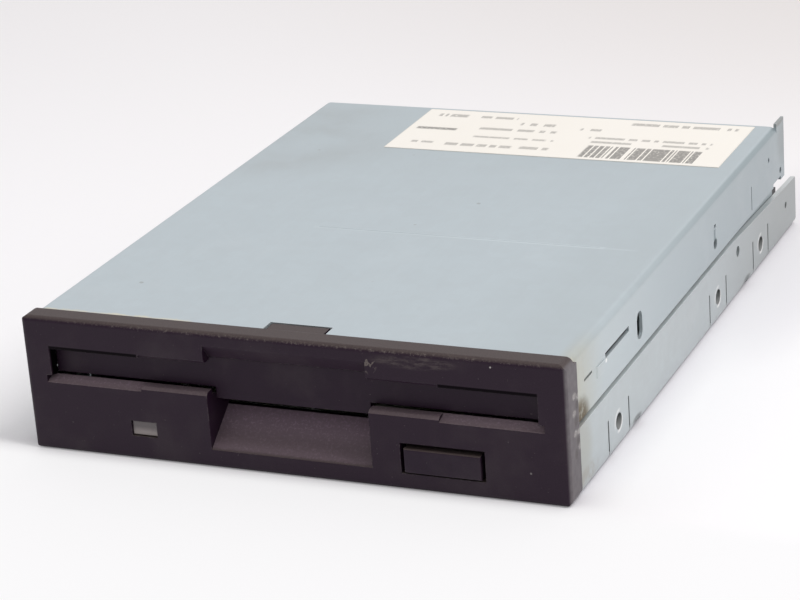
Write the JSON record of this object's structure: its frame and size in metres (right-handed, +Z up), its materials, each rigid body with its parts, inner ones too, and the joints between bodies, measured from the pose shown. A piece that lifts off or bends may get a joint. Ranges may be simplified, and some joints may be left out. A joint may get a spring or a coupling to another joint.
{
  "type": "floppy disk drive",
  "caption": "Slim drive for cartridge disks: black bezel with sprung dust flap, eject button and lamp, in a folded steel chassis and cover, with load, spindle and head mechanisms.",
  "frame": {"origin": "bottom centre of the bounding box, on the surface that the drive stands on", "axes": "+Z up, -Y out of the bezel, +X to the right seen from the front"},
  "size_m": [0.1016, 0.1424, 0.0254],
  "materials": {
    "bezel_plastic": "fine grained black moulding",
    "flap_plastic": "satin black moulding",
    "button_plastic": "satin black moulding",
    "lamp_lens": "milky clear moulding",
    "cover_steel": "galvanised sheet",
    "label_paper": "matt paper",
    "chassis_steel": "galvanised sheet",
    "mechanism_steel": "bright plated sheet",
    "pin_steel": "turned bright steel",
    "spring_wire": "drawn wire",
    "motor_laminate": "brown board laminate",
    "logic_laminate": "green board lacquer",
    "bearing_bronze": "sintered bronze",
    "core_iron": "stacked laminations",
    "coil_copper": "enamelled copper wire",
    "magnet_ferrite": "pressed ferrite",
    "chuck_alloy": "turned light alloy",
    "stepper_can": "drawn can",
    "carriage_plastic": "filled cream moulding",
    "arm_plastic": "filled cream moulding",
    "head_ceramic": "lapped ceramic",
    "flex_film": "amber film",
    "black_mould": "black moulding",
    "white_mould": "white moulding",
    "contact_gold": "plated contact"
  },
  "bodies": {
    "frame": {"bezel": "bezel_plastic", "light_pipe": "lamp_lens", "activity_led": "lamp_lens", "top_cover": "cover_steel", "rating_label": "label_paper", "chassis": "chassis_steel", "stepper_bracket": "chassis_steel", "slider_guide_pins": "pin_steel", "disk_datum_posts": "pin_steel", "guide_rods": "pin_steel", "board_screws": "pin_steel", "flap_spring": "spring_wire", "eject_springs": "spring_wire", "motor_board": "motor_laminate", "logic_board": "logic_laminate", "spindle_bearing": "bearing_bronze", "stator_core": "core_iron", "stator_coils": "coil_copper", "stepper_motor": "stepper_can", "screw_bearing": "carriage_plastic", "head_flex": "flex_film", "board_chips": "black_mould", "signal_connector": "black_mould", "track_sensor": "black_mould", "sensor_switches": "black_mould", "power_connector": "white_mould", "flex_socket": "white_mould", "signal_pins": "contact_gold", "power_pins": "contact_gold"},
    "flap": {"dust_flap": "flap_plastic"},
    "ejector": {"eject_button": "button_plastic", "eject_slider": "mechanism_steel"},
    "holder": {"disk_holder": "mechanism_steel", "holder_pins": "pin_steel", "trigger_rivet": "pin_steel"},
    "trigger": {"trigger_lever": "mechanism_steel"},
    "spindle": {"rotor_cup": "mechanism_steel", "ring_magnet": "magnet_ferrite", "disk_chuck": "chuck_alloy", "drive_pin": "pin_steel", "spindle_shaft": "pin_steel"},
    "screw": {"lead_screw": "pin_steel"},
    "carriage": {"head_carriage": "carriage_plastic", "screw_follower": "pin_steel", "lower_head": "head_ceramic", "arm_hinge_pin": "pin_steel", "arm_spring": "spring_wire"},
    "arm": {"head_arm": "arm_plastic", "upper_head": "head_ceramic"},
    "write_protect_switch": {"write_protect_plunger": "white_mould"},
    "density_switch": {"density_plunger": "white_mould"},
    "disk_in_switch": {"disk_in_plunger": "white_mould"}
  },
  "joints": [
    {"name": "flap_hinge", "type": "hinge", "parent": "frame", "child": "flap", "pos_m": [0, -0.0669, 0.0212], "axis": [-1, 0, 0], "range_deg": [-80, 0], "stiffness_Nm_per_rad": 0.0004, "springref_deg": 28.65, "deforming": ["flap_spring"]},
    {"name": "eject_slide", "type": "slide", "parent": "frame", "child": "ejector", "axis": [0, -1, 0], "range_m": [0, 0.004], "deforming": ["eject_springs"]},
    {"name": "holder_lift", "type": "slide", "parent": "frame", "child": "holder", "axis": [0, 0, -1], "range_m": [0, 0.0024]},
    {"name": "trigger_pivot", "type": "hinge", "parent": "holder", "child": "trigger", "pos_m": [-0.036, 0.0212, 0.0202], "axis": [0, 0, 1], "range_deg": [0, 35]},
    {"name": "spindle_spin", "type": "hinge", "parent": "frame", "child": "spindle", "pos_m": [0, -0.0168, 0.008], "axis": [0, 0, 1], "continuous": true},
    {"name": "carriage_slide", "type": "slide", "parent": "frame", "child": "carriage", "axis": [0, -1, 0], "range_m": [0, 0.01481], "deforming": ["head_flex"]},
    {"name": "screw_turn", "type": "hinge", "parent": "frame", "child": "screw", "pos_m": [-0.02, 0.0332, 0.0102], "axis": [0, 1, 0], "range_deg": [0, 1422]},
    {"name": "arm_hinge", "type": "hinge", "parent": "carriage", "child": "arm", "pos_m": [0, 0.0547, 0.0172], "axis": [1, 0, 0], "range_deg": [0, 9], "deforming": ["arm_spring"]},
    {"name": "write_protect_press", "type": "slide", "parent": "frame", "child": "write_protect_switch", "axis": [0, 0, -1], "range_m": [0, 0.002], "stiffness_N_per_m": 60, "springref_m": -0.003},
    {"name": "density_press", "type": "slide", "parent": "frame", "child": "density_switch", "axis": [0, 0, -1], "range_m": [0, 0.002], "stiffness_N_per_m": 60, "springref_m": -0.003},
    {"name": "disk_in_press", "type": "slide", "parent": "frame", "child": "disk_in_switch", "axis": [0, 0, -1], "range_m": [0, 0.002], "stiffness_N_per_m": 60, "springref_m": -0.003}
  ],
  "couplings": [
    {"joint": "holder_lift", "follows": "eject_slide", "ratio": 0.6},
    {"joint": "trigger_pivot", "follows": "eject_slide", "rad_per_m": 152.72},
    {"joint": "arm_hinge", "follows": "eject_slide", "rad_per_m": 39.27},
    {"joint": "screw_turn", "follows": "carriage_slide", "rad_per_m": 1675.5}
  ]
}
